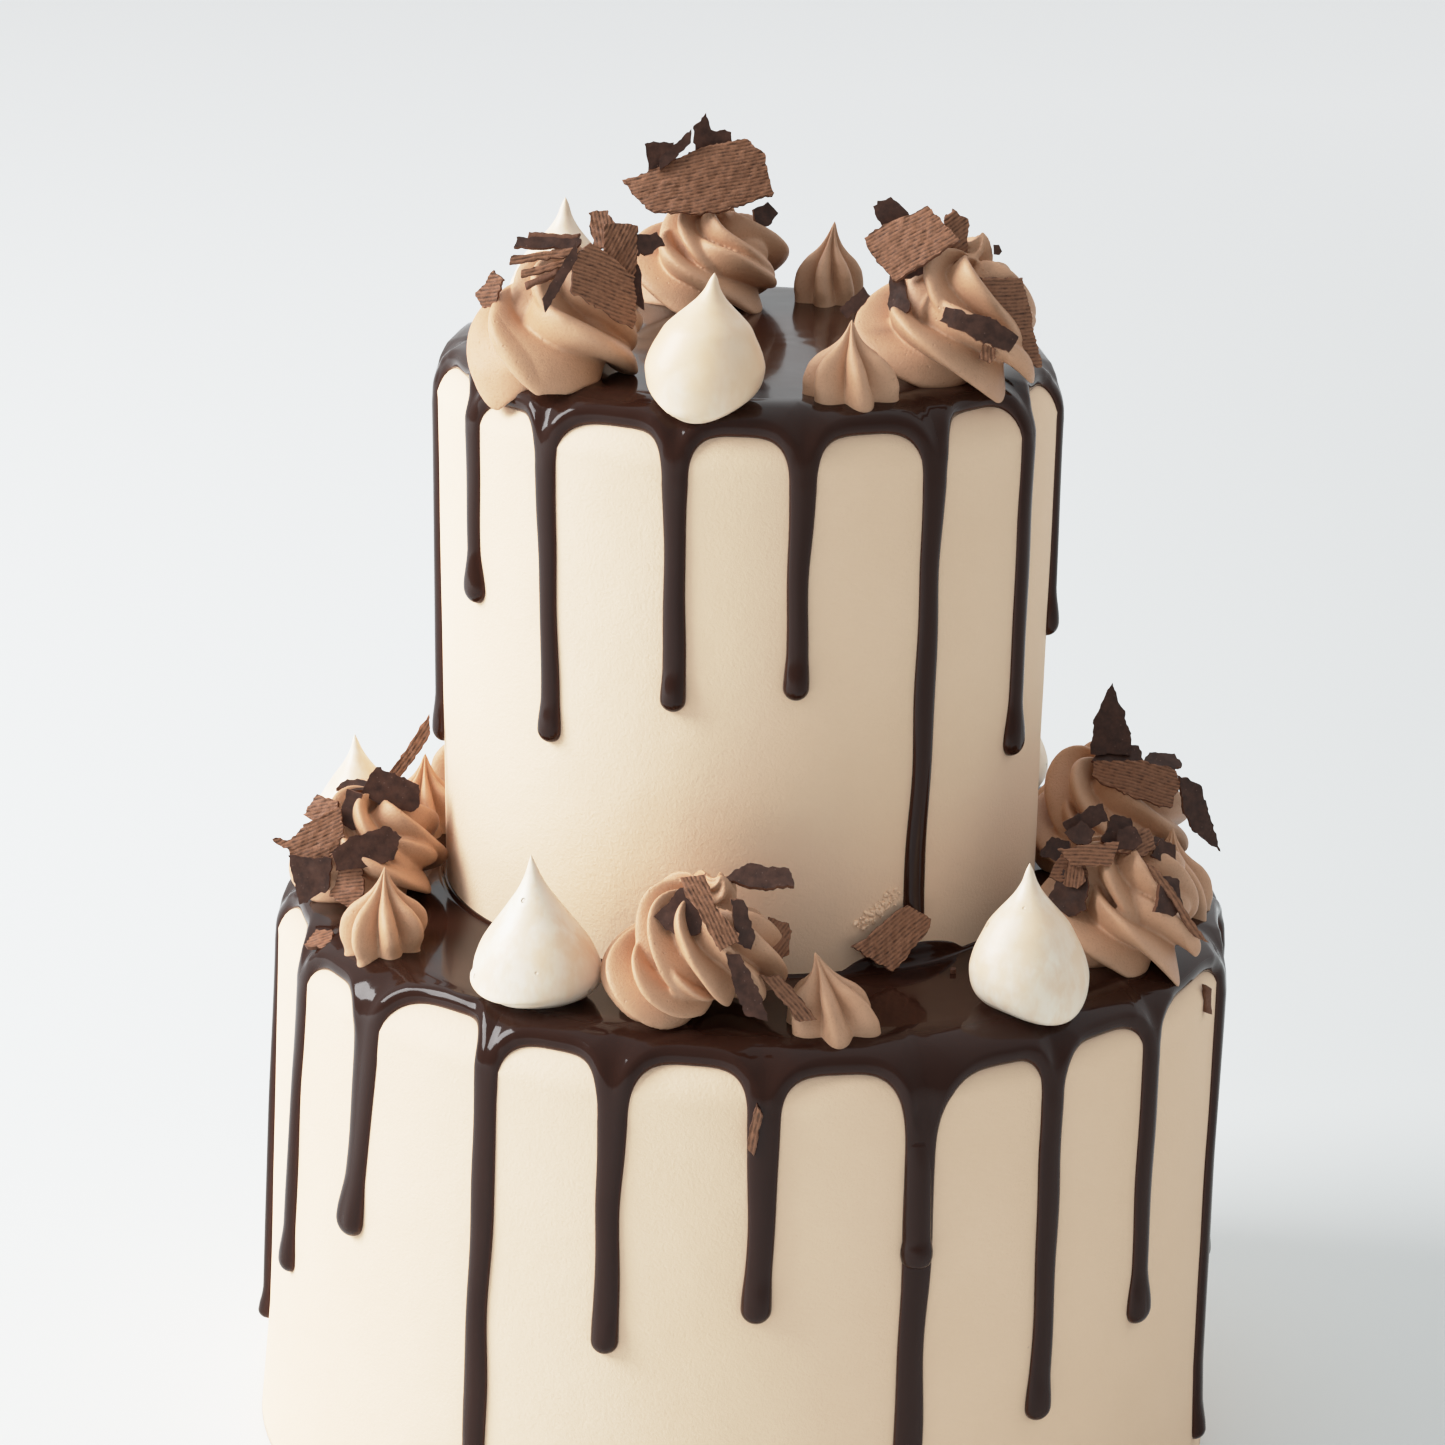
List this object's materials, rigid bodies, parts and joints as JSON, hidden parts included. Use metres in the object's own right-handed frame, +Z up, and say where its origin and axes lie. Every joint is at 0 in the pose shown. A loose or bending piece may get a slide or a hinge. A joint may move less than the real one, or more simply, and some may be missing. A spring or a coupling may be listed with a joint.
{
  "type": "tiered drip cake",
  "caption": "Tiered round celebration cake: smooth cream sides, dark glaze running down in long drips, piped swirls and stars, meringue kisses and broken chocolate flakes.",
  "frame": {"origin": "on the flat underside, at the middle of the cake, where it rests on the table", "axes": "+Z upwards through both tiers, the decorated front faces -Y, +X to the right seen from the front"},
  "size_m": [0.2697, 0.2687, 0.3594],
  "materials": {
    "cream": "smooth matte buttercream with a very fine grain",
    "glaze": "wet-looking dark chocolate glaze",
    "mousse": "satin piped chocolate cream",
    "meringue": "dry satin baked meringue",
    "chocolate": "shaved chocolate, ridged on one face"
  },
  "bodies": {
    "root": {"lower_tier": "cream", "upper_tier": "cream", "lower_glaze": "glaze", "upper_glaze": "glaze", "swirl_top_left": "mousse", "swirl_top_back": "mousse", "swirl_top_right": "mousse", "swirl_left": "mousse", "swirl_front": "mousse", "swirl_right": "mousse", "swirl_far_right": "mousse", "swirl_back": "mousse", "star_top_back": "mousse", "star_top_front": "mousse", "star_left": "mousse", "star_front": "mousse", "star_right": "mousse", "star_far_left": "mousse", "star_back_right": "mousse", "star_back": "mousse", "star_back_left": "mousse", "kiss_top_front": "meringue", "kiss_top_left": "meringue", "kiss_front_left": "meringue", "kiss_front_right": "meringue", "kiss_far_left": "meringue", "kiss_back_right": "meringue", "kiss_back": "meringue", "flake_top_left": "chocolate", "flake_top_back": "chocolate", "flake_top_front": "chocolate", "flake_top_side": "chocolate", "flake_top_curl": "chocolate", "flake_left_top": "chocolate", "flake_left_pointed": "chocolate", "flake_left_middle": "chocolate", "flake_left_low": "chocolate", "flake_front": "chocolate", "flake_right": "chocolate", "flake_far_right": "chocolate", "flake_far_side": "chocolate", "flake_back": "chocolate", "flake_leaning": "chocolate"}
  },
  "joints": []
}
